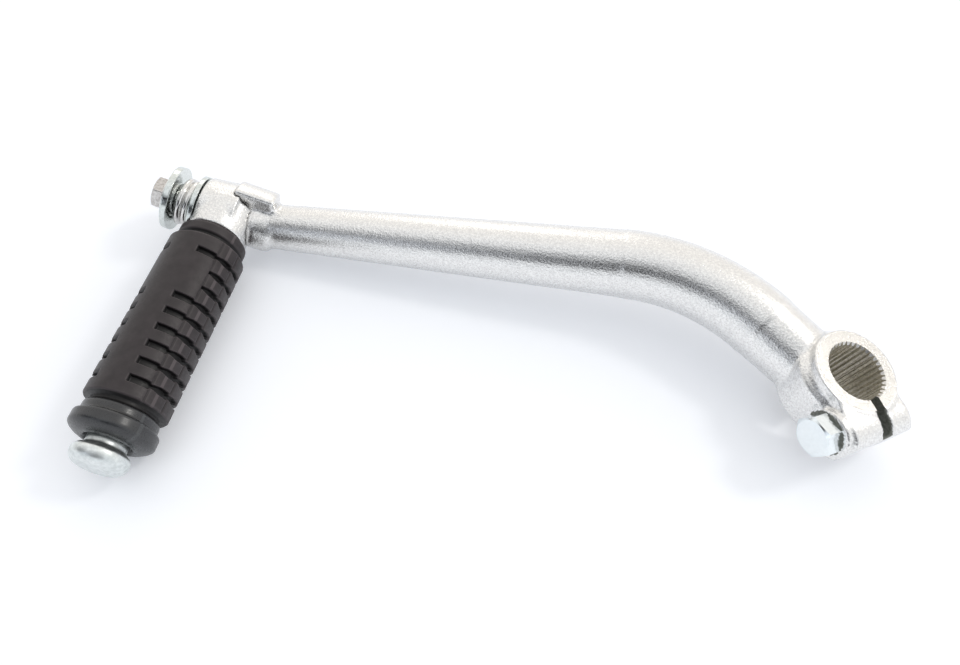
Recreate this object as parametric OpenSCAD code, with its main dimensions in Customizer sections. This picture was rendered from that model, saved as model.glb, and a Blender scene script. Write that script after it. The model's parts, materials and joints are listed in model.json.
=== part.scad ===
// Kick start lever with a folding pedal, origin at the centre of the splined bore.
// +Z is the bore axis, on the side of the raised rim. The pedal pivot lies along X.

/* [Lever layout] */
// Distance from the bore axis to the pedal along the pivot axis
reach = 193.5; // [170:0.5:230]
// Sideways step from the bore axis to the pivot axis
side_step = 23; // [15:0.5:32]
// Outward crank from the middle of the boss to the pivot axis
crank = 55; // [42:0.5:64]

/* [Clamp boss] */
// Tip diameter of the serrations, which sets the bore
bore_d = 16.8; // [14:0.1:18.5]
// Number of serrations
serrations = 36; // [24:1:40]
// Depth of each serration
serration_depth = 0.8; // [0.5:0.05:1]
// Share of each serration pitch left as tooth tip
tip_share = 0.42; // [0.3:0.01:0.6]
// Length of the boss along the bore
boss_len = 18; // [16:0.5:24]
// Outer diameter of the boss body
boss_d = 30; // [28:0.5:34]
// Outer diameter of the raised rim round the bore
rim_d = 26.2; // [24:0.1:27.5]
// Height of the raised rim
rim_h = 2.6; // [1:0.1:4]
// Angle of the clamp slot from the X axis
slot_angle = -55; // [-75:1:-40]
// Width of the clamp slot
slot_w = 3.2; // [2:0.1:4]

/* [Pinch bolt] */
// Thread diameter of the pinch bolt
pinch_d = 8; // [7:0.5:8]
// Width across the flats of its head
pinch_flats = 13; // [11:0.5:13]
// Height of its head
pinch_head_h = 4.8; // [4:0.1:6]
// Radius of the rounded clamp ear round the bolt
ear_r = 7.8; // [7.4:0.1:8.6]
// Height of the bolt above the middle of the boss
bolt_rise = 0.8; // [0:0.1:1.2]
// Distance from the bore axis to the flat end of the clamp ears
ear_reach = 19.8; // [19.4:0.1:21]
// Length of the ear on the head side of the slot
ear_near = 12; // [10:0.1:13]
// Length of the threaded ear on the far side of the slot
ear_far = 12.5; // [10:0.1:15]

/* [Arm] */
// Diameter of the arm where it leaves the pivot shoulder
arm_end_d = 15.4; // [14.5:0.1:16.5]
// Sideways shift of the arm's thin end off the pivot axis
arm_rise = 1.2; // [0:0.1:2]
// Diameter of the arm round its bend
arm_bend_d = 22.2; // [20:0.1:23.5]
// Diameter of the arm where it meets the boss
arm_boss_d = 20.6; // [18:0.1:21.5]
// Distance of the bend from the bore axis, back along the pivot axis
bend_back = 41; // [36:0.5:48]
// Sideways place of the bend
bend_side = 29; // [24:0.5:34]
// Drop of the bend below the middle of the boss
bend_drop = 7; // [2:0.5:12]
// Radius of the arm's centre line round the bend
bend_r = 70; // [50:1:80]

/* [Pivot] */
// Diameter of the pivot spigot
spigot_d = 11; // [10:0.1:12]
// Running clearance of the pedal eye on the spigot, on the radius
eye_fit = 0.06; // [0.03:0.01:0.1]
// Diameter of the spigot root that the eye runs against
root_d = 15; // [14:0.1:16]
// Length of the spigot root, from the shoulder to the eye
root_len = 5.2; // [4:0.1:7]
// Diameter of the shoulder at the end of the arm
shoulder_d = 16.4; // [16.2:0.1:18]
// Length of the shoulder
shoulder_len = 7; // [5:0.5:9]
// Clearance between the eye and the root it runs against
side_fit = 0.15; // [0.1:0.05:0.3]
// Angle of the stop lug round the pivot, from +Y toward +Z
lug_angle = 65; // [50:1:80]
// Outer radius of the stop lug
lug_r = 13.4; // [12.9:0.1:14.5]
// Half angle that the lug's nose covers
lug_half = 20; // [14:1:24]
// Depth of the stop recess in the eye
stop_depth = 2.4; // [1.5:0.1:3]
// Swing of the pedal from folded to extended
fold_range = 90; // [70:1:100]

/* [Pivot stack] */
// Outer diameter of the thrust washer beside the eye
thrust_d = 21; // [19:0.5:23]
// Thickness of the thrust washer
thrust_h = 1.6; // [1:0.1:2]
// Wire diameter of the detent spring
spring_wire = 2.6; // [2:0.1:2.8]
// Number of coils in the detent spring
spring_turns = 1.6; // [1.4:0.1:1.8]
// Compressed length of the detent spring
spring_len = 6.6; // [6.4:0.1:8]
// Outer diameter of the retaining washer
keeper_d = 21.8; // [20:0.1:24]
// Thickness of the retaining washer
keeper_h = 2.2; // [1.6:0.1:2.6]
// Outer diameter of the lock washer
lock_d = 14.5; // [12:0.1:16]
// Thickness of the lock washer
lock_h = 1.5; // [1.2:0.1:2]
// Thread diameter of the pivot bolt
pivot_bolt_d = 6; // [5:0.5:6.5]
// Width across the flats of its head
pivot_flats = 10; // [8:0.5:11]
// Height of its head
pivot_head_h = 4; // [3.5:0.1:5]
// Depth of the threaded hole in the end of the spigot
pivot_thread = 14; // [10:0.5:16]

/* [Pedal core] */
// Width of the pedal eye along the pivot
eye_len = 12.8; // [11:0.1:15]
// Diameter of the eye at its outer face
eye_d = 21.6; // [21:0.1:23]
// Diameter of the eye at its stop face
eye_stop_d = 24.6; // [23.6:0.1:25.5]
// Diameter of the pedal neck where it leaves the eye
neck_d = 20.4; // [18:0.1:21.5]
// Distance from the pivot axis to the end of the neck
neck_len = 11; // [10.5:0.1:13]
// Diameter of the steel stem inside the rubber
stem_d = 12; // [10:0.1:13]
// Diameter of the button end that holds the rubber on
button_d = 17; // [15:0.1:19]
// Thickness of the button end
button_h = 5.6; // [4:0.1:7]

/* [Rubber sleeve] */
// Length of the rubber sleeve
rubber_len = 77.2; // [70:0.1:84]
// Diameter over the ribs
rib_d = 25.1; // [24:0.1:27]
// Diameter of the thin flange at the inner end
flange_d = 22.2; // [20.5:0.1:23.5]
// Width of the thin flange at the inner end
flange_w = 3.3; // [2:0.1:4]
// Diameter at the bottom of the two end grooves
groove_d = 20.8; // [20:0.1:22]
// Distance between neighbouring rib grooves
rib_pitch = 5.86; // [5:0.01:6]
// Width of each rib groove
rib_groove = 1.9; // [1.4:0.1:2.2]
// Depth of each rib groove
rib_depth = 1.4; // [0.8:0.1:1.8]
// Angle covered by the plain panel along the top
panel_angle = 45; // [35:1:60]
// Diameter of the plain collar at the outer end
collar_d = 22; // [21:0.1:23]
// Length of the outer lip with its collar
lip_len = 11.2; // [9:0.1:13]
// Clearance between the rubber and the steel inside it
rubber_fit = 0.15; // [0.1:0.05:0.3]

/* [Hidden] */
$fn = 64;
cut = 0.5;
seat = 0.3;

// Places on the pivot axis, measured from the pedal axis toward the boss
stop_face = eye_len * 0.36;
outer_face = stop_face - eye_len;
root_face = stop_face + side_fit;
shoulder_face = root_face + root_len;
thrust_in = outer_face - seat;
spring_in = thrust_in - thrust_h;
keeper_in = spring_in - spring_len;
keeper_out = keeper_in - keeper_h;
lock_out = keeper_out - lock_h;
head_out = lock_out - pivot_head_h;

// Boss
tip_r = bore_d / 2;
root_r = tip_r + serration_depth;
bolt_s = root_r + pinch_d / 2 + 0.5;
head_gap = 0.6;
body_top = boss_len / 2 - rim_h;

// Arm centre line: inside the pivot shoulder, the bend and the boss
arm_start = [-reach + shoulder_face + 3.5, side_step + arm_rise, -crank];
arm_bend = [-bend_back, bend_side, -bend_drop];
arm_end = [0, 0, -2.5];

// Rubber, measured from the pivot axis along the pedal
rubber_in = neck_len + seat;
rubber_out = rubber_in + rubber_len;
button_in = rubber_out + seat;
first_groove = rubber_in + flange_w + 8.6;
rib_r = rib_d / 2;
column = (360 - panel_angle) / 10;

function unit(v) = v / norm(v);

// Directions of the two straight lengths and of the bend between them
run_in = unit(arm_bend - arm_start);
run_out = unit(arm_end - arm_bend);
bend_turn = acos(run_in * run_out);
bend_set = bend_r * tan(bend_turn / 2);
bend_up = unit(cross(run_in, run_out));
bend_aside = cross(bend_up, run_in);

module ring(r_out, r_in, h) {
    difference() {
        cylinder(r = r_out, h = h);
        translate([0, 0, -cut]) cylinder(r = r_in, h = h + 2 * cut);
    }
}

// Turns a piece drawn along +Z so that it points along +X at the pivot
module on_pivot(x = 0) {
    translate([-reach + x, side_step, -crank]) rotate([90, 0, 90]) children();
}

// Turns a piece drawn along +Z so that it points out along the pedal
module on_pedal(t = 0) {
    translate([-reach, side_step - t, -crank]) rotate([90, 0, 0]) children();
}

// Turns a piece drawn along +Z so that it points along the pinch bolt
module on_bolt(u = 0) {
    rotate([0, 0, slot_angle]) translate([bolt_s, u, bolt_rise]) rotate([-90, 0, 0]) children();
}

// Sets a piece drawn along +Z from one point toward another
module along(p, d) {
    side = unit(cross([0, 0, 1], d));
    up = cross(d, side);
    multmatrix([[side.x, up.x, d.x, p.x], [side.y, up.y, d.y, p.y], [side.z, up.z, d.z, p.z]])
        children();
}

// Tapered straight length, round bend and short straight length into the boss
module arm_bar() {
    into_bend = arm_bend - run_in * bend_set;
    from_bend = arm_bend + run_out * bend_set;
    hub = into_bend + bend_aside * bend_r;
    along(arm_start, run_in)
        cylinder(d1 = arm_end_d, d2 = arm_bend_d - seat, h = norm(into_bend - arm_start) + 1);
    multmatrix([[-bend_aside.x, run_in.x, bend_up.x, hub.x],
            [-bend_aside.y, run_in.y, bend_up.y, hub.y],
            [-bend_aside.z, run_in.z, bend_up.z, hub.z]])
        rotate_extrude(angle = bend_turn) translate([bend_r, 0]) circle(d = arm_bend_d);
    along(from_bend - run_out, run_out)
        cylinder(d1 = arm_bend_d - seat, d2 = arm_boss_d, h = norm(arm_end - from_bend) + 1);
}

module boss_solid() {
    translate([0, 0, -boss_len / 2]) cylinder(r1 = boss_d / 2 - 1.2, r2 = boss_d / 2, h = 1.2);
    translate([0, 0, -boss_len / 2 + 1.2]) cylinder(d = boss_d, h = boss_len - rim_h - 3.2);
    translate([0, 0, body_top - 2]) cylinder(r1 = boss_d / 2, r2 = rim_d / 2, h = 2);
    translate([0, 0, body_top - 1]) cylinder(d = rim_d, h = rim_h + 1);
}

module ear_solid() {
    rotate([0, 0, slot_angle]) intersection() {
        translate([bolt_s, 0, bolt_rise]) rotate([-90, 0, 0]) union() {
            translate([0, 0, -ear_near]) cylinder(r = ear_r, h = ear_near + ear_far - 3);
            translate([0, 0, ear_far - 3.1]) cylinder(r1 = ear_r, r2 = ear_r - 3, h = 3.1);
            translate([-bolt_s, -ear_r, -ear_near]) cube([bolt_s, 2 * ear_r, ear_near + ear_far - 3]);
        }
        translate([0, -boss_d, -boss_d]) cube([ear_reach, 2 * boss_d, 2 * boss_d]);
    }
}

// Serrated bore: a round tip bore with a V groove between each pair of teeth
module serrated_bore() {
    gap = PI * bore_d / serrations * (1 - tip_share) / 2;
    translate([0, 0, -boss_len / 2 - cut]) {
        cylinder(r = tip_r, h = boss_len + 2 * cut);
        for (i = [0:serrations - 1])
            rotate([0, 0, 360 * i / serrations])
            linear_extrude(boss_len + 2 * cut)
            polygon([[tip_r - 0.4, -gap], [tip_r, -gap], [root_r, -0.12],
                [root_r, 0.12], [tip_r, gap], [tip_r - 0.4, gap]]);
    }
    for (m = [0, 1]) mirror([0, 0, m])
        translate([0, 0, boss_len / 2 - 0.7])
        cylinder(r1 = tip_r, r2 = tip_r + 0.7 + cut, h = 0.7 + cut);
}

// Forged stop lug standing over the pedal eye
module stop_lug() {
    nose = stop_face - stop_depth + seat;
    intersection() {
        on_pivot(nose) difference() {
            cylinder(r = lug_r, h = shoulder_face - nose + 6);
            translate([0, 0, -cut]) cylinder(r = root_d / 2 - 0.5, h = shoulder_face - nose + cut);
        }
        translate([-reach, side_step, -crank]) rotate([lug_angle, 0, 0])
            linear_extrude(lug_r * 2, center = true)
            polygon([[nose, 0], [nose, lug_r + 1],
                [shoulder_face + 6, lug_r + 1], [shoulder_face + 6, 0]]);
        translate([-reach, side_step, -crank]) rotate([lug_angle, 0, 0])
            translate([nose - cut, 0, 0]) rotate([90, 0, 90]) linear_extrude(40)
            polygon([[0, 0], [lug_r * 1.4, -lug_r * 1.4 * tan(lug_half)],
                [lug_r * 1.4, lug_r * 1.4 * tan(lug_half)]]);
    }
}

module lever_arm() {
    color([0.78, 0.78, 0.77]) difference() {
        union() {
            arm_bar();
            boss_solid();
            ear_solid();
            on_pivot(shoulder_face) cylinder(d1 = shoulder_d, d2 = shoulder_d - 1, h = shoulder_len);
            on_pivot(root_face) cylinder(d = root_d, h = root_len + 1);
            on_pivot(keeper_in) cylinder(d = spigot_d, h = root_face - keeper_in + 1);
            stop_lug();
        }
        serrated_bore();
        rotate([0, 0, slot_angle]) translate([0, -slot_w / 2, -boss_len])
            cube([boss_d + ear_r, slot_w, 2 * boss_len]);
        on_bolt(-ear_near - cut) cylinder(d = pinch_d + 0.6, h = ear_near + cut);
        on_bolt(0) cylinder(d = pinch_d, h = ear_far + cut);
        on_bolt(-ear_near - pinch_flats) cylinder(r = pinch_flats * 0.62, h = pinch_flats);
        on_pivot(keeper_in - cut) cylinder(d = pivot_bolt_d, h = pivot_thread + cut);
    }
}

// Hex head bolt drawn from the under side of its head: shank along +Z
module hex_bolt(d, flats, head_h, shank, collar) {
    corner = flats / cos(30);
    cylinder(d = d, h = shank);
    translate([0, 0, -collar - 0.2]) cylinder(d = flats * 0.94, h = collar + 0.2);
    translate([0, 0, -collar]) intersection() {
        translate([0, 0, -head_h]) cylinder(d = corner, h = head_h, $fn = 6);
        translate([0, 0, -head_h]) cylinder(r1 = flats * 0.47, r2 = flats * 0.47 + head_h * 1.7, h = head_h);
    }
}

module pinch_bolt() {
    color([0.86, 0.89, 0.9]) on_bolt(-ear_near)
        hex_bolt(pinch_d - 0.2, pinch_flats, pinch_head_h, ear_near + ear_far + 0.5, head_gap);
}

module pivot_bolt() {
    color([0.85, 0.86, 0.86]) on_pivot(lock_out)
        hex_bolt(pivot_bolt_d - 0.2, pivot_flats, pivot_head_h,
            pivot_thread * 0.85 + keeper_h + lock_h, 0);
}

module thrust_washer() {
    color([0.8, 0.8, 0.8]) on_pivot(spring_in) ring(thrust_d / 2, spigot_d / 2 + 0.2, thrust_h);
}

module retaining_washer() {
    color([0.83, 0.84, 0.83]) on_pivot(keeper_out) ring(keeper_d / 2, pivot_bolt_d / 2 + 0.2, keeper_h);
}

module lock_washer() {
    color([0.72, 0.73, 0.73]) on_pivot(lock_out) difference() {
        ring(lock_d / 2, pivot_bolt_d / 2 + 0.2, lock_h);
        rotate([0, 0, 200]) translate([0, -0.4, -cut]) cube([lock_d, 0.8, lock_h + 2 * cut]);
    }
}

// Closed-end coil spring, swept as round wire along a helix
module detent_spring() {
    wire_r = spring_wire / 2;
    mean_r = spigot_d / 2 + wire_r + seat;
    steps = 40;
    sides = 12;
    rise = spring_len - spring_wire - 2 * 0.1;
    rings = [for (i = [0:steps])
        let (a = 360 * spring_turns * i / steps, z = 0.1 + wire_r + rise * i / steps)
        [for (j = [0:sides - 1])
            let (b = 360 * j / sides, r = mean_r + wire_r * cos(b))
            [r * cos(a), r * sin(a), z + wire_r * sin(b)]]];
    points = [for (r = rings) each r];
    walls = [for (i = [0:steps - 1]) for (j = [0:sides - 1])
        let (p = i * sides + j, q = i * sides + (j + 1) % sides)
        [p, p + sides, q + sides, q]];
    first = [for (j = [0:sides - 1]) j];
    last = [for (j = [sides - 1:-1:0]) steps * sides + j];
    color([0.7, 0.7, 0.7]) on_pivot(keeper_in) polyhedron(points, concat([first], walls, [last]));
}

module pedal_core() {
    color([0.8, 0.8, 0.79]) difference() {
        union() {
            on_pivot(outer_face) cylinder(d1 = eye_d - 1.6, d2 = eye_d, h = 0.8);
            on_pivot(outer_face + 0.8) cylinder(d1 = eye_d, d2 = eye_stop_d, h = eye_len - 0.8);
            on_pedal(0) cylinder(d = neck_d, h = neck_len - 1.5);
            on_pedal(neck_len - 1.5) cylinder(d1 = neck_d, d2 = neck_d - 2, h = 1.5);
            on_pedal(neck_len - 1) cylinder(d = stem_d, h = button_in - neck_len + 2);
            button_end();
        }
        on_pivot(outer_face - cut) cylinder(r = spigot_d / 2 + eye_fit, h = eye_len + 2 * cut);
        stop_recess();
        // Room for the washers outside the eye, and for the spigot root beside it
        on_pivot(outer_face - spring_len) cylinder(r = eye_d, h = spring_len);
        on_pivot(stop_face) cylinder(r = root_d / 2 + seat, h = eye_len);
        on_pivot(shoulder_face - seat) cylinder(r = eye_d, h = eye_len);
        on_pedal(neck_len) ring(30, stem_d / 2, 6);
    }
}

module button_end() {
    on_pedal(button_in) rotate_extrude() polygon(concat(
        [[0, 0], [button_d / 2 - 1.2, 0], [button_d / 2, 1.2]],
        [for (i = [0:8]) let (a = 90 * i / 8)
            [button_d / 2 * (0.55 + 0.45 * cos(a)), 2.2 + (button_h - 2.2) * sin(a)]],
        [[0, button_h + 0.2]]));
}

// Recess in the stop face in which the lug's nose runs from one stop to the other
module stop_recess() {
    from = lug_angle - fold_range - lug_half - 1;
    to = lug_angle + lug_half + 1;
    on_pivot(stop_face - stop_depth) rotate([0, 0, from])
        rotate_extrude(angle = to - from)
        translate([root_d / 2 - 0.8, 0]) square([30, stop_depth + cut]);
}

module sleeve_profile() {
    lip_in = rubber_len - lip_len;
    polygon([
        [stem_d / 2 + rubber_fit, 0], [flange_d / 2 - 0.6, 0], [flange_d / 2, 0.6],
        [flange_d / 2, flange_w - 0.5], [flange_d / 2 - 0.5, flange_w],
        [groove_d / 2, flange_w + 0.2], [groove_d / 2, flange_w + 2],
        [rib_r - 0.5, flange_w + 2.2], [rib_r, flange_w + 2.8],
        [rib_r, lip_in - 2.6], [rib_r - 0.5, lip_in - 2],
        [groove_d / 2, lip_in - 1.8], [groove_d / 2, lip_in],
        [collar_d / 2, lip_in + 0.2], [collar_d / 2 + 0.3, lip_in + 2.4], [rib_r - 0.5, lip_in + 4.4],
        [rib_r, lip_in + 5.8], [rib_r, lip_in + 7], [rib_r - 0.5, lip_in + 8.6],
        [rib_r - 2, rubber_len - 0.8], [rib_r - 3.2, rubber_len],
        [stem_d / 2 + 2.2, rubber_len], [stem_d / 2 + 1.8, rubber_len - 3.4],
        [stem_d / 2 + rubber_fit, rubber_len - 3.6]]);
}

// One rib groove between two angles round the sleeve, 0 at the top toward the boss
module rib_cut(t, from, to) {
    on_pedal(t - rib_groove / 2) rotate([0, 0, 90 - to]) rotate_extrude(angle = to - from)
        translate([rib_r - rib_depth, 0]) square([rib_depth + 1, rib_groove]);
}

module pedal_rubber() {
    grooves = floor((rubber_out - lip_len - first_groove - 3) / rib_pitch);
    color([0.13, 0.12, 0.12]) difference() {
        on_pedal(rubber_in) rotate_extrude() sleeve_profile();
        for (i = [0:grooves]) {
            t = first_groove + i * rib_pitch;
            short = i == 1 || i == 2;
            rib_cut(t, short ? column : 0, short ? 360 - panel_angle - column : 360 - panel_angle);
        }
    }
}

lever_arm();
pinch_bolt();
pedal_core();
pedal_rubber();
thrust_washer();
detent_spring();
retaining_washer();
lock_washer();
pivot_bolt();
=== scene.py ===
import json
import math
import bmesh
import bpy
from mathutils import Matrix, Vector


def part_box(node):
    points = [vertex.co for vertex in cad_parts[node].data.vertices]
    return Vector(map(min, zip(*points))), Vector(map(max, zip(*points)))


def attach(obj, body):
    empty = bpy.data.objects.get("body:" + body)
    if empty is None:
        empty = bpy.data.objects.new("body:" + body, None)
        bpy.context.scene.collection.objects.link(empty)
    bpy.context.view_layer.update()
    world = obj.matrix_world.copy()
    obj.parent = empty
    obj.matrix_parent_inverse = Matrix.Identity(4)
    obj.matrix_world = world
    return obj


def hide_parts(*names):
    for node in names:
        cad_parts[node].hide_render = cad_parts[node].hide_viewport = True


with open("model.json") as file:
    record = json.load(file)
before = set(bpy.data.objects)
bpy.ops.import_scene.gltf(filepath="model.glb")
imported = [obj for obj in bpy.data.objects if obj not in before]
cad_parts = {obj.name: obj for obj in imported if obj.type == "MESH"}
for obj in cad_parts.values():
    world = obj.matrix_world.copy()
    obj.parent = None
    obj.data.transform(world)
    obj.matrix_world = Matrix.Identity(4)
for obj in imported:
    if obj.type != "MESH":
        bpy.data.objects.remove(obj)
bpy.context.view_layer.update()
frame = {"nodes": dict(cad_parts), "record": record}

mm = 0.001
xAxis, yAxis, zAxis = Vector((1, 0, 0)), Vector((0, 1, 0)), Vector((0, 0, 1))
pivot = Vector(frame["record"]["behaviour"]["joints"][0]["pos_m"])  # where the pedal turns

# camera that matches the photograph, in the part's own frame
photoCamera = {
    "place": (-126.1, -122.9, 167.8),
    "right": (0.9428, 0.2212, 0.2494),
    "up": (-0.3162, 0.8303, 0.4590),
    "lens": 28.125,
    "sensor": 36.0,
    "clip": (0.01, 20.0),
}

# the table that the lever lies on, tilted in the part's frame
table = {"normal": (-0.2560, -0.0010, 0.9667), "size": 2.4, "gap": 0.00005, "color": (0.87, 0.89, 0.93),
         "roughness": 0.8, "specular": 0.3, "glow": 0.23,
         "touching": ("leverForging", "rubberSleeve", "pinchBolt", "largeWasher", "pedalForging")}

studio = {
    "target": (-0.09, 0.0, -0.02),
    "key": {"place": (-0.35, 0.75, 0.85), "size": 0.22, "power": 2.3, "color": (1.0, 0.975, 0.93)},
    "fill": {"place": (0.75, -0.55, 0.55), "size": 0.5, "power": 0.5, "color": (0.86, 0.91, 1.0)},
    "rim": {"place": (-0.9, -0.25, 0.45), "size": 0.4, "power": 0.4, "color": (1.0, 0.96, 0.9)},
    "worldWarm": (1.0, 0.975, 0.94), "worldCool": (0.93, 0.96, 1.0), "worldTurn": (-0.6, 0.6),
    "worldPower": 1.1,
    "stripColor": (0.01, 0.01, 0.012), "stripSide": (-0.45, -0.85, 0.0), "stripLow": (0.3, 0.42),
    "stripHigh": (0.88, 0.72), "stripWide": (0.3, 0.6),
    "overhead": (0.08, -0.42, 0.91), "overheadRim": (0.93, 0.985), "overheadColor": (0.42, 0.43, 0.44),
}

# what the grain group, the painted edge highlight and crease shade group and the painted groove shade group
# share
grainLook = {"fineDetail": 3.0, "fineRoughness": 0.6, "hollowDetail": 2.0, "speckle": (0.36, 0.64),
             "cloud": (0.3, 0.7)}
edgeHighlightCreaseShadeLook = {"edgeLow": 0.51, "edgeHigh": 0.6, "crease": (0.49, 0.42)}
grooveShadeLook = {"sunk": (12.02, 11.75), "after": (14.9, 15.0), "before": (77.45, 77.35)}  # mm
roughSpread = {"metal": (0.07, -0.05), "rubber": (0.05, -0.05)}  # on dark and on light specks


def unit(v):
    return Vector(v).normalized()


def addObject(name, data):
    made = bpy.data.objects.new(name, data)
    bpy.context.scene.collection.objects.link(made)
    return made


def outwardMesh(name, points, faces):
    # a closed mesh whose faces all point outwards
    mesh = bpy.data.meshes.new(name)
    mesh.from_pydata([tuple(p) for p in points], [], faces)
    work = bmesh.new()
    work.from_mesh(mesh)
    bmesh.ops.recalc_face_normals(work, faces=work.faces)
    work.to_mesh(mesh)
    work.free()
    return mesh


# shader groups

def newGroup(name, inputs, outputs):
    group = bpy.data.node_groups.new(name, "ShaderNodeTree")
    for label, kind, value in inputs:
        socket = group.interface.new_socket(label, in_out="INPUT", socket_type=kind)
        socket.default_value = value
    for label, kind in outputs:
        group.interface.new_socket(label, in_out="OUTPUT", socket_type=kind)
    return group, group.nodes.new("NodeGroupInput"), group.nodes.new("NodeGroupOutput")


def setOrLink(links, value, socket):
    # a socket is linked, a plain value is set
    if hasattr(value, "is_linked"):
        links.new(value, socket)
    else:
        socket.default_value = value


def mapRange(nodes, links, source, low, high, toLow=0.0, toHigh=1.0):
    node = nodes.new("ShaderNodeMapRange")
    links.new(source, node.inputs["Value"])
    node.inputs["From Min"].default_value = low
    node.inputs["From Max"].default_value = high
    node.inputs["To Min"].default_value = toLow
    node.inputs["To Max"].default_value = toHigh
    return node.outputs["Result"]


def reckon(nodes, links, operation, first, second=0.0):
    node = nodes.new("ShaderNodeMath")
    node.operation = operation
    setOrLink(links, first, node.inputs[0])
    setOrLink(links, second, node.inputs[1])
    return node.outputs[0]


def mixColor(nodes, links, factor, first, second, blend="MIX"):
    node = nodes.new("ShaderNodeMix")
    node.data_type = "RGBA"
    node.blend_type = blend
    setOrLink(links, factor, node.inputs[0])
    for value, index in ((first, 6), (second, 7)):  # the two colour sockets
        setOrLink(links, value if hasattr(value, "is_linked") else (*value, 1.0), node.inputs[index])
    return node.outputs[2]


def makeGrainGroup():
    # fine cast grain with larger soft hollows, in object coordinates
    group, given, result = newGroup(
        "castGrain",
        [("Grain Size", "NodeSocketFloat", 2200.0), ("Hollow Size", "NodeSocketFloat", 260.0),
         ("Hollow Share", "NodeSocketFloat", 0.35)],
        [("Height", "NodeSocketFloat"), ("Speckle", "NodeSocketFloat"), ("Cloud", "NodeSocketFloat")])
    nodes, links = group.nodes, group.links
    coords = nodes.new("ShaderNodeTexCoord")
    fine = nodes.new("ShaderNodeTexNoise")
    fine.inputs["Detail"].default_value = grainLook["fineDetail"]
    fine.inputs["Roughness"].default_value = grainLook["fineRoughness"]
    links.new(coords.outputs["Object"], fine.inputs["Vector"])
    links.new(given.outputs["Grain Size"], fine.inputs["Scale"])
    hollow = nodes.new("ShaderNodeTexNoise")
    hollow.inputs["Detail"].default_value = grainLook["hollowDetail"]
    links.new(coords.outputs["Object"], hollow.inputs["Vector"])
    links.new(given.outputs["Hollow Size"], hollow.inputs["Scale"])
    scaled = reckon(nodes, links, "MULTIPLY", hollow.outputs["Fac"], given.outputs["Hollow Share"])
    total = reckon(nodes, links, "ADD", fine.outputs["Fac"], scaled)
    links.new(total, result.inputs["Height"])
    speckle = mapRange(nodes, links, fine.outputs["Fac"], *grainLook["speckle"])
    links.new(speckle, result.inputs["Speckle"])
    links.new(mapRange(nodes, links, hollow.outputs["Fac"], *grainLook["cloud"]), result.inputs["Cloud"])
    return group


def makeEdgeHighlightCreaseShadeGroup():
    # painted highlight on sharp edges and painted shade in creases, from how sharply the surface turns
    group, given, result = newGroup(
        "edgeHighlightCreaseShade",
        [("Low", "NodeSocketFloat", edgeHighlightCreaseShadeLook["edgeLow"]), ("High", "NodeSocketFloat", edgeHighlightCreaseShadeLook["edgeHigh"])],
        [("EdgeHighlight", "NodeSocketFloat"), ("CreaseShade", "NodeSocketFloat")])
    nodes, links = group.nodes, group.links
    geometry = nodes.new("ShaderNodeNewGeometry")
    edge = nodes.new("ShaderNodeMapRange")
    links.new(geometry.outputs["Pointiness"], edge.inputs["Value"])
    links.new(given.outputs["Low"], edge.inputs["From Min"])
    links.new(given.outputs["High"], edge.inputs["From Max"])
    links.new(edge.outputs["Result"], result.inputs["EdgeHighlight"])
    crease = mapRange(nodes, links, geometry.outputs["Pointiness"], *edgeHighlightCreaseShadeLook["crease"])
    links.new(crease, result.inputs["CreaseShade"])
    return group


def makeGrooveShadeGroup():
    # how deep a point of the sleeve lies under its ribs, between the end grooves; it masks the painted shade on
    # the groove floors
    group, given, result = newGroup("grooveShadeMask", [], [("GrooveShade", "NodeSocketFloat")])
    nodes, links = group.nodes, group.links
    coords = nodes.new("ShaderNodeTexCoord")
    split = nodes.new("ShaderNodeSeparateXYZ")
    links.new(coords.outputs["Object"], split.inputs[0])

    def between(source, limits):
        return mapRange(nodes, links, source, limits[0] * mm, limits[1] * mm)

    across = reckon(nodes, links, "SUBTRACT", split.outputs["X"], pivot.x)
    high = reckon(nodes, links, "SUBTRACT", split.outputs["Z"], pivot.z)
    squares = reckon(nodes, links, "ADD", reckon(nodes, links, "MULTIPLY", across, across),
                     reckon(nodes, links, "MULTIPLY", high, high))
    radius = reckon(nodes, links, "SQRT", squares)
    far = reckon(nodes, links, "SUBTRACT", pivot.y, split.outputs["Y"])
    inside = reckon(nodes, links, "MULTIPLY", between(far, grooveShadeLook["after"]),
                    between(far, grooveShadeLook["before"]))
    groove = reckon(nodes, links, "MULTIPLY", between(radius, grooveShadeLook["sunk"]), inside)
    links.new(groove, result.inputs["GrooveShade"])
    return group


castGrain = makeGrainGroup()
grooveShadeMask = makeGrooveShadeGroup()
edgeHighlightCreaseShade = makeEdgeHighlightCreaseShadeGroup()


def groupNode(nodes, group):
    node = nodes.new("ShaderNodeGroup")
    node.node_tree = group
    return node


def addSkin(nodes, links, shader, grain, look, spread):
    # roughness and bump that follow the grain
    rough = mapRange(nodes, links, grain.outputs["Speckle"], 0.0, 1.0, look["rough"] + spread[0],
                     look["rough"] + spread[1])
    links.new(rough, shader.inputs["Roughness"])
    bump = nodes.new("ShaderNodeBump")
    bump.inputs["Strength"].default_value = look["bump"]
    bump.inputs["Distance"].default_value = look["depth"]
    links.new(grain.outputs["Height"], bump.inputs["Height"])
    links.new(bump.outputs["Normal"], shader.inputs["Normal"])


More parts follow.
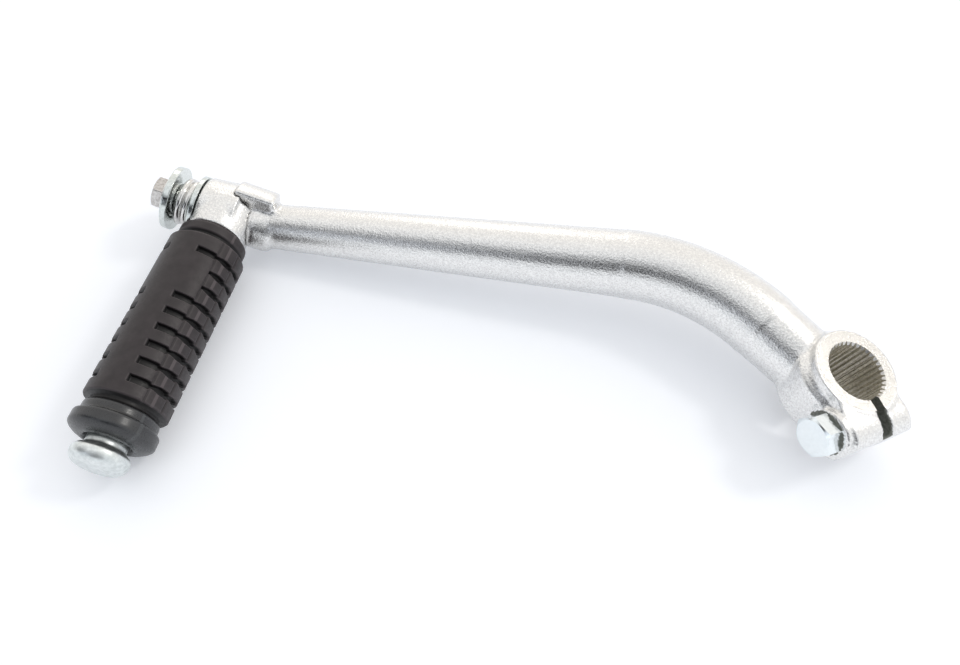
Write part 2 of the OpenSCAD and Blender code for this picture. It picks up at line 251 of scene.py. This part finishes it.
def makeMetal(name, look):
    mat = bpy.data.materials.new(name)
    mat.use_nodes = True
    nodes, links = mat.node_tree.nodes, mat.node_tree.links
    shader = nodes["Principled BSDF"]
    shader.inputs["Metallic"].default_value = look["metallic"]
    grain = groupNode(nodes, castGrain)
    grain.inputs["Grain Size"].default_value = look["grain"]
    grain.inputs["Hollow Size"].default_value = look["hollow"]
    grain.inputs["Hollow Share"].default_value = look["hollowShare"]
    edgeAndCreasePaint = groupNode(nodes, edgeHighlightCreaseShade)
    base = mixColor(nodes, links, grain.outputs["Speckle"], look["dark"], look["light"])
    cloud = mixColor(nodes, links, grain.outputs["Cloud"], look["cloudDark"], (1.0, 1.0, 1.0))
    base = mixColor(nodes, links, 1.0, base, cloud, "MULTIPLY")
    # painted shade: darkened towards the crease colour in creases
    base = mixColor(nodes, links, edgeAndCreasePaint.outputs["CreaseShade"], base, look["crease"])
    links.new(base, shader.inputs["Base Color"])
    addSkin(nodes, links, shader, grain, look, roughSpread["metal"])
    return mat


# each finish's crease colour is painted shade laid into creases
metals = {
    "forgedZinc": {"metallic": 1.0, "grain": 1700.0, "hollow": 420.0, "hollowShare": 0.5,
                   "dark": (0.7, 0.695, 0.69), "light": (0.87, 0.865, 0.85), "cloudDark": (0.97, 0.97, 0.97),
                   "crease": (0.42, 0.41, 0.39), "rough": 0.23, "bump": 0.6, "depth": 0.0002},
    # the button end: rougher and coarser grained, on a base darker than the forging's plating, a painted
    # reflection of the grey overhead
    "shadedButtonZinc": {"metallic": 1.0, "grain": 900.0, "hollow": 200.0, "hollowShare": 0.5,
                   "dark": (0.66, 0.69, 0.685), "light": (0.79, 0.82, 0.815), "cloudDark": (0.93, 0.94, 0.94),
                   "crease": (0.3, 0.31, 0.31), "rough": 0.36, "bump": 0.2, "depth": 0.0002},
    "brightZinc": {"metallic": 1.0, "grain": 1200.0, "hollow": 150.0, "hollowShare": 0.3,
                   "dark": (0.80, 0.84, 0.85), "light": (0.83, 0.87, 0.88), "cloudDark": (0.98, 0.99, 1.0),
                   "crease": (0.4, 0.41, 0.42), "rough": 0.16, "bump": 0.05, "depth": 0.0001},
    # painted shade: the washers get a darker, greener copy of the bright plating
    "shadedWasherZinc": {"metallic": 1.0, "grain": 1200.0, "hollow": 150.0, "hollowShare": 0.3,
                   "dark": (0.62, 0.655, 0.64), "light": (0.72, 0.75, 0.735), "cloudDark": (0.96, 0.97, 0.97),
                   "crease": (0.2, 0.21, 0.2), "rough": 0.15, "bump": 0.05, "depth": 0.0001},
    # painted reflection: the pivot bolt gets a darker, browner copy of the bright plating, for the dark it
    # reflects
    "shadedBoltZinc": {"metallic": 1.0, "grain": 1200.0, "hollow": 150.0, "hollowShare": 0.3,
                 "dark": (0.46, 0.44, 0.425), "light": (0.64, 0.62, 0.6), "cloudDark": (0.9, 0.9, 0.9),
                 "crease": (0.1, 0.09, 0.085), "rough": 0.12, "bump": 0.05, "depth": 0.0001},
    # the machined rim: its grain is its own; its base, darker than the forging's plating, is painted shade
    "machinedRimShaded": {"metallic": 1.0, "grain": 1900.0, "hollow": 420.0, "hollowShare": 0.5,
                     "dark": (0.5, 0.49, 0.475), "light": (0.69, 0.675, 0.655),
                     "cloudDark": (0.95, 0.95, 0.94), "crease": (0.5, 0.48, 0.44), "rough": 0.3,
                     "bump": 0.5, "depth": 0.0002},
    "springSteel": {"metallic": 1.0, "grain": 1500.0, "hollow": 300.0, "hollowShare": 0.2,
                    "dark": (0.66, 0.65, 0.64), "light": (0.78, 0.77, 0.75), "cloudDark": (0.94, 0.94, 0.94),
                    "crease": (0.1, 0.1, 0.1), "rough": 0.14, "bump": 0.04, "depth": 0.0001},
    "bareBore": {"metallic": 0.45, "grain": 1300.0, "hollow": 200.0, "hollowShare": 0.3,
                 "dark": (0.58, 0.54, 0.46), "light": (0.84, 0.8, 0.7), "cloudDark": (0.9, 0.9, 0.88),
                 "crease": (0.16, 0.15, 0.12), "rough": 0.38, "bump": 0.2, "depth": 0.00015},
    # painted shade: a near-black finish for the clamp slot's walls and the bolt's seat, where shade falls
    "recessShade": {"metallic": 0.5, "grain": 1300.0, "hollow": 200.0, "hollowShare": 0.3,
                 "dark": (0.13, 0.135, 0.115), "light": (0.24, 0.245, 0.215), "cloudDark": (0.85, 0.85, 0.85),
                 "crease": (0.06, 0.06, 0.05), "rough": 0.5, "bump": 0.2, "depth": 0.00015},
}

rubbers = {
    # edge colour: painted highlight on sharp edges; groove and crease colours: painted shade
    "ribbedRubber": {"dark": (0.021, 0.0165, 0.0178), "light": (0.033, 0.0265, 0.0285),
                     "edge": (0.075, 0.062, 0.065), "groove": (0.005, 0.0042, 0.0046),
                     "crease": (0.006, 0.005, 0.005), "specular": 0.4, "rough": 0.45, "grain": 1500.0,
                     "hollow": 300.0, "bump": 0.12, "depth": 0.0001},
    # the sleeve's end: glossier, with a bluish tint that is a painted cool reflection; edge colour a painted
    # highlight, crease colour painted shade
    "endRubber": {"dark": (0.019, 0.0195, 0.022), "light": (0.026, 0.0275, 0.03),
                  "edge": (0.05, 0.053, 0.056), "crease": (0.004, 0.004, 0.004), "specular": 0.6,
                  "rough": 0.3, "grain": 1500.0, "hollow": 300.0, "bump": 0.08, "depth": 0.0001},
}


def makeRubber(name, look):
    mat = bpy.data.materials.new(name)
    mat.use_nodes = True
    nodes, links = mat.node_tree.nodes, mat.node_tree.links
    shader = nodes["Principled BSDF"]
    shader.inputs["Specular IOR Level"].default_value = look["specular"]
    grain = groupNode(nodes, castGrain)
    grain.inputs["Grain Size"].default_value = look["grain"]
    grain.inputs["Hollow Size"].default_value = look["hollow"]
    edgeAndCreasePaint = groupNode(nodes, edgeHighlightCreaseShade)
    base = mixColor(nodes, links, grain.outputs["Cloud"], look["dark"], look["light"])
    # painted highlight on sharp edges, then painted shade in creases
    base = mixColor(nodes, links, edgeAndCreasePaint.outputs["EdgeHighlight"], base, look["edge"])
    base = mixColor(nodes, links, edgeAndCreasePaint.outputs["CreaseShade"], base, look["crease"])
    # painted shade: the groove floors are darkened towards the groove colour
    if "groove" in look:
        sunk = groupNode(nodes, grooveShadeMask)
        base = mixColor(nodes, links, sunk.outputs["GrooveShade"], base, look["groove"])
    links.new(base, shader.inputs["Base Color"])
    addSkin(nodes, links, shader, grain, look, roughSpread["rubber"])
    return mat


finishes = {name: makeMetal(name, look) for name, look in metals.items()}
finishes.update({name: makeRubber(name, look) for name, look in rubbers.items()})
print("materials made")

# small turned pieces: each CAD solid is taken up again as a smooth mesh with its edges rounded

pieceLooks = {
    "pivot_bolt": {"piece": "pivotBolt", "cell": 0.2, "passes": 4, "finish": "shadedBoltZinc", "body": "lever",
                   "slot": "bright_plated_steel"},
    "retaining_washer": {"piece": "largeWasher", "cell": 0.2, "passes": 3, "finish": "shadedWasherZinc",
                         "body": "lever", "slot": "bright_plated_steel"},
    "thrust_washer": {"piece": "thrustWasher", "cell": 0.2, "passes": 3, "finish": "shadedWasherZinc",
                      "body": "lever", "slot": "bright_plated_steel"},
    "lock_washer": {"piece": "lockWasher", "cell": 0.2, "passes": 2, "finish": "springSteel", "body": "lever",
                    "slot": "spring_steel"},
}
weldGap = 0.002  # mm
softFactor = 0.5


def closedCopy(nodeName, pieceName):
    # the CAD mesh is loose triangles, so a copy of it is merged before anything else
    mesh = frame["nodes"][nodeName].data.copy()
    mesh.materials.clear()
    piece = addObject(pieceName, mesh)
    weld = piece.modifiers.new("weld", "WELD")
    weld.merge_threshold = weldGap * mm
    return piece


def settle(piece):
    # what the modifiers make becomes a plain mesh
    graph = bpy.context.evaluated_depsgraph_get()
    mesh = bpy.data.meshes.new_from_object(piece.evaluated_get(graph))
    piece.modifiers.clear()
    piece.data = mesh
    return mesh


def addSoften(piece, passes):
    soften = piece.modifiers.new("soften", "SMOOTH")
    soften.factor = softFactor
    soften.iterations = passes
    return soften


def roundOver(piece, cell, passes):
    # one skin of even cells, smoothed so that every edge is a little round
    remesh = piece.modifiers.new("remesh", "REMESH")
    remesh.mode = "VOXEL"
    remesh.voxel_size = cell * mm
    remesh.use_smooth_shade = True
    addSoften(piece, passes)
    settle(piece)
    piece.data.shade_smooth()


def softenWhere(piece, weight, passes):
    # rounds only the places where weight is above nothing, as a forging's blends are
    group = piece.vertex_groups.new(name="soft")
    for v in piece.data.vertices:
        share = weight(v.co)
        if share > 0:
            group.add([v.index], share, "REPLACE")
    addSoften(piece, passes).vertex_group = "soft"
    settle(piece)
    piece.vertex_groups.clear()
    piece.data.shade_smooth()


def ramp(value, low, high):
    t = min(max((value - low) / (high - low), 0.0), 1.0)
    return t * t * (3 - 2 * t)


def finishPiece(piece, finish, body, slotName, *nodes):
    piece.data.materials.clear()
    piece.data.materials.append(finishes[finish])
    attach(piece, body)
    if nodes:
        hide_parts(*nodes)


for nodeName, look in pieceLooks.items():
    piece = closedCopy(nodeName, look["piece"])
    roundOver(piece, look["cell"], look["passes"])
    finishPiece(piece, look["finish"], look["body"], look["slot"], nodeName)
    print("made", look["piece"], len(piece.data.polygons))


def drum(name, radius, height, tip=None, sides=128):
    # a closed round bar or cone about Z, from 0 up
    work = bmesh.new()
    bmesh.ops.create_cone(work, cap_ends=True, segments=sides, radius1=radius * mm,
                          radius2=(radius if tip is None else tip) * mm, depth=height * mm)
    bmesh.ops.translate(work, vec=(0, 0, height * mm / 2), verts=work.verts)
    mesh = bpy.data.meshes.new(name)
    work.to_mesh(mesh)
    work.free()
    return addObject(name, mesh)


def placed(piece, place, direction):
    turned = direction.to_track_quat("Z", "Y").to_matrix().to_4x4()
    piece.data.transform(Matrix.Translation(place) @ turned)
    return piece


def cutWith(piece, tool, operation):
    cut = piece.modifiers.new("cut", "BOOLEAN")
    cut.operation = operation
    cut.object = tool
    cut.solver = "EXACT"
    settle(piece)
    bpy.data.objects.remove(tool)


def joinInto(piece, other):
    # two closed meshes in one; the remesh after this makes them one skin
    work = bmesh.new()
    work.from_mesh(piece.data)
    work.from_mesh(other.data)
    work.to_mesh(piece.data)
    work.free()
    bpy.data.objects.remove(other)


# the pedal's forging: eye, neck and button end, in mm from the pivot
pedalLook = {"cell": 0.42, "passes": 5, "neckWide": 12.0, "neckThin": 10.3, "neckEnd": 10.9,
             "boreRadius": 5.7, "boreHalf": 30.0, "rootRadius": 7.9, "stopFace": 4.5, "outerFace": 8.1,
             "inner": 9.2, "roomRadius": 40.0, "roomDepth": 30.0, "eyeBlend": (14.5, 12.5), "eyePasses": 7,
             "buttonFrom": 80.0}


def makePedalForging():
    look = pedalLook
    forged = closedCopy("pedal_core", "pedalForging")
    settle(forged)
    neck = placed(drum("neck", look["neckWide"], look["neckEnd"], look["neckThin"]), pivot, -yAxis)
    rooms = (
        ("eyeBore", look["boreRadius"], 2 * look["boreHalf"], -look["boreHalf"], xAxis),
        ("rootRoom", look["rootRadius"], look["roomDepth"], look["stopFace"], xAxis),
        ("washerRoom", look["roomRadius"], look["roomDepth"], -look["outerFace"], -xAxis),
        ("shoulderRoom", look["roomRadius"], look["roomDepth"], look["inner"], xAxis),
    )
    for name, radius, depth, along, direction in rooms:
        cutWith(neck, placed(drum(name, radius, depth), pivot + xAxis * along * mm, direction), "DIFFERENCE")
    joinInto(forged, neck)
    roundOver(forged, look["cell"], look["passes"])
    softenWhere(forged, lambda co: ramp((pivot.y - co.y) / mm, *look["eyeBlend"]), look["eyePasses"])
    finishPiece(forged, "forgedZinc", "pedal", "plated_steel", "pedal_core")
    forged.data.materials.append(finishes["shadedButtonZinc"])
    for face in forged.data.polygons:
        if (pivot.y - face.center.y) / mm > look["buttonFrom"]:
            face.material_index = 1
    print("pedal forging made", len(forged.data.polygons))


makePedalForging()

# directions of the clamp's slot and of its bolt
slotAngle = math.radians(-55)
alongSlot = Vector((math.cos(slotAngle), math.sin(slotAngle), 0))
alongBolt = Vector((-math.sin(slotAngle), math.cos(slotAngle), 0))


def boltPlace(out, rise, u):
    # a point by its place along the slot, along the bore and along the bolt, in mm
    return (alongSlot * out + zAxis * rise + alongBolt * u) * mm


# the lever: the splined rim stays crisp, the forging round it is rounded over
leverLook = {"rimRadius": 12.3, "overlap": 1.6, "cell": 0.52, "passes": 5, "below": 20.0, "height": 40.0,
             "lugFrom": (2.5, 5.5), "lugTo": (24.0, 18.0), "lugPasses": 28, "sink": 0.07, "sinkOver": 0.25,
             "earRadius": 7.3, "earOut": 12.7, "earRise": 0.9, "earFrom": 8.0, "earTo": 14.1,
             "boreReach": 9.3, "boreFacing": 0.3, "slotHalf": 1.9, "slotFrom": 9.0, "slotFacing": 0.6}


def rimDrum(name, radius):
    return placed(drum(name, radius, leverLook["height"]), -zAxis * leverLook["below"] * mm, zAxis)


def sinkUnderRim(forged):
    # the forging sinks a hair under the machined rim, so that no seam is seen
    look = leverLook
    reach = look["rimRadius"] + look["sinkOver"]
    normals = [v.normal.copy() for v in forged.data.vertices]
    for v, normal in zip(forged.data.vertices, normals):
        away = math.hypot(v.co.x, v.co.y) / mm
        if away < reach:
            v.co -= normal * look["sink"] * mm * ramp(away, reach, look["rimRadius"])


def inSlot(face):
    look = leverLook
    return (abs(face.center.dot(alongBolt)) < look["slotHalf"] * mm
            and abs(face.normal.dot(alongBolt)) > look["slotFacing"]
            and face.center.dot(alongSlot) > look["slotFrom"] * mm)


def inBore(face):
    away = math.hypot(face.center.x, face.center.y) / mm
    return abs(face.normal.z) < leverLook["boreFacing"] and away < leverLook["boreReach"]


def lugWeight(co):
    along = (co.x - pivot.x) / mm
    return ramp(along, *leverLook["lugFrom"]) * ramp(along, *leverLook["lugTo"])


def makeLever():
    look = leverLook
    rim = closedCopy("lever_arm", "splinedRim")
    cutWith(rim, rimDrum("rimDrum", look["rimRadius"]), "INTERSECT")
    rim.data.shade_flat()
    forged = closedCopy("lever_arm", "leverForging")
    cutWith(forged, rimDrum("boreDrum", look["rimRadius"] - look["overlap"]), "DIFFERENCE")
    ear = drum("earEnd", look["earRadius"], look["earTo"] - look["earFrom"])
    joinInto(forged, placed(ear, boltPlace(look["earOut"], look["earRise"], -look["earFrom"]), -alongBolt))
    roundOver(forged, look["cell"], look["passes"])
    softenWhere(forged, lugWeight, look["lugPasses"])
    sinkUnderRim(forged)
    finishPiece(forged, "forgedZinc", "lever", "plated_steel", "lever_arm")
    finishPiece(rim, "machinedRimShaded", "lever", "plated_steel")
    forged.data.materials.append(finishes["recessShade"])
    rim.data.materials.append(finishes["bareBore"])
    rim.data.materials.append(finishes["recessShade"])
    # painted shade: the slot's walls take the near-black finish
    for face in forged.data.polygons:
        if inSlot(face):
            face.material_index = 1
    for face in rim.data.polygons:
        if inSlot(face):
            face.material_index = 2
        elif inBore(face):
            face.material_index = 1
    print("lever made", len(forged.data.polygons), len(rim.data.polygons))
    return forged


leverForging = makeLever()

# the pinch bolt: the shank as in the CAD, the head as the photograph shows it
boltLook = {"flats": 11.0, "height": 5.5, "out": 12.0, "rise": 0.6, "seat": -13.5, "roll": 13.5,
            "chamfer": 0.93, "coneSides": 96, "axisOut": 13.7, "axisRise": 0.8, "shankEnd": -11.6,
            "roomRadius": 12.0, "roomDepth": 20.0, "neckRadius": 3.7, "neckLength": 3.0, "neckSink": 0.5,
            "seatFrom": -10.5, "seatRound": 6.4}


def hexHead(name):
    look = boltLook
    reach = look["flats"] / math.sqrt(3)
    corners = []
    for u in (look["seat"], look["seat"] - look["height"]):
        for k in range(6):
            a = math.radians(look["roll"] + 60 * k)
            out, rise = look["out"] + reach * math.cos(a), look["rise"] + reach * math.sin(a)
            corners.append(boltPlace(out, rise, u))
    faces = [tuple(range(6)), tuple(range(11, 5, -1))]
    faces += [(k, k + 6, (k + 1) % 6 + 6, (k + 1) % 6) for k in range(6)]
    return addObject(name, outwardMesh(name, corners, faces))


def makeBolt():
    look = boltLook
    bolt = closedCopy("pinch_bolt", "pinchBolt")
    shankPlace = boltPlace(look["axisOut"], look["axisRise"], look["shankEnd"])
    headRoom = placed(drum("headRoom", look["roomRadius"], look["roomDepth"]), shankPlace, -alongBolt)
    cutWith(bolt, headRoom, "DIFFERENCE")
    head = hexHead("head")
    headPlace = boltPlace(look["out"], look["rise"], look["seat"])
    flatRound = look["flats"] / 2 * look["chamfer"]
    coneFoot = flatRound + look["height"] * math.sqrt(3)  # corners chamfered at 30 degrees
    cone = drum("cone", coneFoot, look["height"], flatRound, look["coneSides"])
    cutWith(head, placed(cone, headPlace, -alongBolt), "INTERSECT")
    neck = drum("neckRound", look["neckRadius"], look["neckLength"])
    cutWith(head, placed(neck, headPlace - alongBolt * look["neckSink"] * mm, alongBolt), "UNION")
    cutWith(bolt, head, "UNION")
    bolt.data.shade_flat()
    finishPiece(bolt, "brightZinc", "lever", "bright_plated_steel", "pinch_bolt")
    print("bolt made", len(bolt.data.polygons))


def paintSeatShadow(forged):
    # painted shadow: the seat round the bolt's head is darkened where it lies in shadow
    look = boltLook
    for face in forged.data.polygons:
        out = face.center.dot(alongSlot) / mm - look["out"]
        away = math.hypot(out, face.center.z / mm - look["rise"])
        if face.center.dot(alongBolt) < look["seatFrom"] * mm and away < look["seatRound"]:
            face.material_index = 1


makeBolt()
paintSeatShadow(leverForging)

# the ribbed sleeve, turned up round the pedal's axis: radius by place along it, in mm
sleeveLook = {
    "start": 11.3, "end": 86.6, "fineStep": 0.14, "fineRows": 11, "wideStep": 0.5, "nearStep": 0.6,
    "stepsRound": 300, "smoothFrom": 77.3,
    "profile": [(11.3, 10.5), (11.7, 11.05), (12.2, 11.1), (14.4, 11.1), (14.9, 10.9), (15.1, 10.1),
                (16.8, 10.1), (17.1, 12.2), (17.5, 12.5), (74.9, 12.5), (75.3, 12.2), (75.5, 10.2),
                (77.3, 10.2), (77.5, 11.0), (78.0, 11.15), (80.3, 11.2), (80.5, 11.9), (80.8, 12.35),
                (81.2, 12.5), (83.7, 12.5), (84.2, 12.35), (84.9, 11.7), (85.6, 10.6), (86.2, 9.2), (86.6, 7.6)],
    "grooves": [23.2, 29.1, 34.9, 40.8, 46.6, 52.5, 58.4, 64.2, 70.1], "shortGrooves": (1, 2),
    "depth": 2.0, "halfWidth": 1.15, "edge": 0.14, "panel": 45.0, "columns": 10, "narrow": 0.5,
    "openOver": 1.5, "growOver": 0.55, "fadeOver": (0.3, 3.0),
    "creaseDepth": 0.35, "creaseHalf": 2.2, "creaseFrom": 17.3, "creaseTo": 75.1,
    "mouth": [(0.15, 7.25), (0.6, 6.9), (2.0, 6.6), (2.2, 6.15)], "hole": 6.15,
}


def profileRadius(t):
    rows = sleeveLook["profile"]
    for (t0, r0), (t1, r1) in zip(rows, rows[1:]):
        if t <= t1:
            return r0 + (r1 - r0) * (t - t0) / (t1 - t0)
    return rows[-1][1]


def grooveDepth(t, index, wide):
    # how far a cross groove cuts in at t; the short ones leave out the columns beside the panel
    look = sleeveLook
    half = look["halfWidth"] * wide
    cut = 0.0
    for i, middle in enumerate(look["grooves"]):
        if i in look["shortGrooves"] and index in (0, look["columns"] - 1):
            continue
        here = 1 - ramp(abs(t - middle), half - look["edge"], half + look["edge"])
        cut = max(cut, look["depth"] * here)
    return cut


def sleeveRadius(t, angle):
    look = sleeveLook
    radius = profileRadius(t)
    span = 360 - look["panel"]
    if angle >= span or not look["creaseFrom"] < t < look["creaseTo"]:
        return radius
    column = span / look["columns"]
    index = int(angle // column)
    inside = angle - index * column
    # upright creases stand between the columns, not at the panel
    edges = [inside] * (index > 0) + [column - inside] * (index < look["columns"] - 1)
    crease = look["creaseDepth"] * (1 - ramp(min(edges), 0, look["creaseHalf"]))
    toPanel = min(angle, span - angle)
    opened = ramp(toPanel, 0.0, look["openOver"])
    # past the first column a groove starts narrow on the panel's side, and each narrows at its far side
    fromPanel, toFar = (inside, column - inside) if angle < span / 2 else (column - inside, inside)
    grown = 1.0 if toPanel < column else ramp(fromPanel, 0.0, column * look["growOver"])
    wide = look["narrow"] + (1 - look["narrow"]) * min(grown, ramp(toFar, *look["fadeOver"]))
    return radius - max(grooveDepth(t, index, wide) * opened, crease)


def sleevePlaces():
    # rows along the sleeve, closer together at the grooves
    look = sleeveLook
    places = {t for t, r in look["profile"]}
    for middle in look["grooves"]:
        places.update(middle + look["fineStep"] * k for k in range(-look["fineRows"], look["fineRows"] + 1))
    t = look["start"]
    while t < look["end"]:
        if min(abs(t - place) for place in places) > look["wideStep"] * look["nearStep"]:
            places.add(t)
        t += look["wideStep"] / 2
    return sorted(places)


def makeSleeve():
    look = sleeveLook
    n = look["stepsRound"]
    rows = [[(t, sleeveRadius(t, 360 * j / n)) for j in range(n)] for t in sleevePlaces()]
    rows += [[(look["end"] - deep, r)] * n for deep, r in look["mouth"]]
    rows.append([(look["start"], look["hole"])] * n)
    points = []
    for row in rows:
        for j, (t, r) in enumerate(row):
            a = 2 * math.pi * j / n
            points.append(pivot + Vector((r * math.sin(a), -t, r * math.cos(a))) * mm)
    m = len(rows)
    faces = [(i * n + j, i * n + (j + 1) % n, ((i + 1) % m) * n + (j + 1) % n, ((i + 1) % m) * n + j)
             for i in range(m) for j in range(n)]
    mesh = outwardMesh("rubberSleeve", points, faces)
    mesh.shade_smooth()
    sleeve = addObject("rubberSleeve", mesh)
    finishPiece(sleeve, "ribbedRubber", "pedal", "black_rubber", "pedal_rubber")
    mesh.materials.append(finishes["endRubber"])
    for face in mesh.polygons:
        if (pivot.y - face.center.y) / mm > look["smoothFrom"]:
            face.material_index = 1
    print("sleeve made", len(mesh.polygons))


makeSleeve()

# spring between the washers, a coil grown along a spiral
springLook = {"wire": 1.3, "radius": 7.0, "turns": 1.6, "length": 3.8, "steps": 72, "sides": 20,
              "endGap": 0.1}


def makeSpring():
    tree = bpy.data.node_groups.new("coilSpring", "GeometryNodeTree")
    tree.interface.new_socket("Geometry", in_out="INPUT", socket_type="NodeSocketGeometry")
    sizes = {}
    for label, value in (("Turns", springLook["turns"]), ("Radius", springLook["radius"] * mm),
                         ("Length", springLook["length"] * mm), ("Wire", springLook["wire"] * mm)):
        socket = tree.interface.new_socket(label, in_out="INPUT", socket_type="NodeSocketFloat")
        sizes[label] = (socket, value)
    tree.interface.new_socket("Geometry", in_out="OUTPUT", socket_type="NodeSocketGeometry")
    nodes, links = tree.nodes, tree.links
    given, result = nodes.new("NodeGroupInput"), nodes.new("NodeGroupOutput")
    spiral = nodes.new("GeometryNodeCurveSpiral")
    spiral.inputs["Resolution"].default_value = springLook["steps"]
    links.new(given.outputs["Turns"], spiral.inputs["Rotations"])
    links.new(given.outputs["Radius"], spiral.inputs["Start Radius"])
    links.new(given.outputs["Radius"], spiral.inputs["End Radius"])
    links.new(given.outputs["Length"], spiral.inputs["Height"])
    section = nodes.new("GeometryNodeCurvePrimitiveCircle")
    section.inputs["Resolution"].default_value = springLook["sides"]
    links.new(given.outputs["Wire"], section.inputs["Radius"])
    sweep = nodes.new("GeometryNodeCurveToMesh")
    sweep.inputs["Fill Caps"].default_value = True
    links.new(spiral.outputs[0], sweep.inputs["Curve"])
    links.new(section.outputs[0], sweep.inputs["Profile Curve"])
    realize = nodes.new("GeometryNodeRealizeInstances")
    links.new(sweep.outputs[0], realize.inputs[0])
    paint = nodes.new("GeometryNodeSetMaterial")
    paint.inputs["Material"].default_value = finishes["springSteel"]
    links.new(realize.outputs[0], paint.inputs["Geometry"])
    links.new(paint.outputs[0], result.inputs[0])
    coil = addObject("detentCoil", bpy.data.meshes.new("detentCoil"))
    grown = coil.modifiers.new("coil", "NODES")
    grown.node_group = tree
    for socket, value in sizes.values():
        grown[socket.identifier] = value
    settle(coil)
    low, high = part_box("detent_spring")
    middle = (Vector(low) + Vector(high)) / 2
    start = Vector((low[0] + (springLook["wire"] + springLook["endGap"]) * mm, middle.y, middle.z))
    coil.data.transform(Matrix.Translation(start) @ Matrix.Rotation(math.radians(90), 4, "Y"))
    coil.data.shade_smooth()
    finishPiece(coil, "springSteel", "lever", "spring_steel", "detent_spring")
    print("spring made")


makeSpring()

# floor, light and camera
tableNormal = unit(table["normal"])
tableTurn = tableNormal.to_track_quat("Z", "Y").to_matrix().to_4x4()


def makeFloor():
    resting = [bpy.data.objects[name].data for name in table["touching"]]
    lowest = min(tableNormal.dot(v.co) for mesh in resting for v in mesh.vertices)
    half = table["size"] / 2
    corners = [(-half, -half, 0), (half, -half, 0), (half, half, 0), (-half, half, 0)]
    mesh = bpy.data.meshes.new("floor")
    mesh.from_pydata(corners, [], [(0, 1, 2, 3)])
    floor = addObject("floor", mesh)
    floor.matrix_world = Matrix.Translation(tableNormal * (lowest - table["gap"])) @ tableTurn
    mat = bpy.data.materials.new("paleFloor")
    mat.use_nodes = True
    shader = mat.node_tree.nodes["Principled BSDF"]
    shader.inputs["Base Color"].default_value = (*table["color"], 1.0)
    shader.inputs["Roughness"].default_value = table["roughness"]
    shader.inputs["Emission Color"].default_value = (*table["color"], 1.0)
    shader.inputs["Emission Strength"].default_value = table["glow"]
    shader.inputs["Specular IOR Level"].default_value = table["specular"]
    mesh.materials.append(mat)


def makeLight(name, look):
    data = bpy.data.lights.new(name, "AREA")
    data.shape = "DISK"
    data.size = look["size"]
    data.energy = look["power"]
    data.color = look["color"]
    lamp = addObject(name, data)
    target = Vector(studio["target"])
    place = target + (tableTurn @ Vector(look["place"]))
    lamp.location = place
    lamp.rotation_euler = (place - target).to_track_quat("Z", "Y").to_euler()


def makeWorld():
    # a pale surround with a dark strip and a grey patch for the metal to reflect
    world = bpy.data.worlds.new("studio")
    world.use_nodes = True
    bpy.context.scene.world = world
    nodes, links = world.node_tree.nodes, world.node_tree.links
    back = nodes["Background"]
    coords = nodes.new("ShaderNodeTexCoord")

    def along(direction, limits):
        toward = nodes.new("ShaderNodeVectorMath")
        toward.operation = "DOT_PRODUCT"
        toward.inputs[1].default_value = unit(direction)
        links.new(coords.outputs["Generated"], toward.inputs[0])
        return mapRange(nodes, links, toward.outputs["Value"], *limits)

    sky = mixColor(nodes, links, along(yAxis, studio["worldTurn"]), studio["worldCool"], studio["worldWarm"])
    strip = reckon(nodes, links, "MULTIPLY", along(table["normal"], studio["stripLow"]),
                   along(table["normal"], studio["stripHigh"]))
    strip = reckon(nodes, links, "MULTIPLY", strip, along(studio["stripSide"], studio["stripWide"]))
    overhead = along(studio["overhead"], studio["overheadRim"])
    sky = mixColor(nodes, links, overhead, sky, studio["overheadColor"])
    links.new(mixColor(nodes, links, strip, sky, studio["stripColor"]), back.inputs["Color"])
    back.inputs["Strength"].default_value = studio["worldPower"]


def makeCamera():
    data = bpy.data.cameras.new("camera")
    data.lens = photoCamera["lens"]
    data.sensor_width = photoCamera["sensor"]
    data.clip_start, data.clip_end = photoCamera["clip"]
    camera = addObject("camera", data)
    right, up = unit(photoCamera["right"]), unit(photoCamera["up"])
    facing = Matrix((right, up, right.cross(up))).transposed().to_4x4()
    camera.matrix_world = Matrix.Translation(Vector(photoCamera["place"]) * mm) @ facing
    bpy.context.scene.camera = camera


makeFloor()
for name in ("key", "fill", "rim"):
    makeLight(name, studio[name])
makeWorld()
makeCamera()
bpy.context.scene.view_settings.view_transform = "Standard"
bpy.context.scene.view_settings.look = "None"
print("studio made")
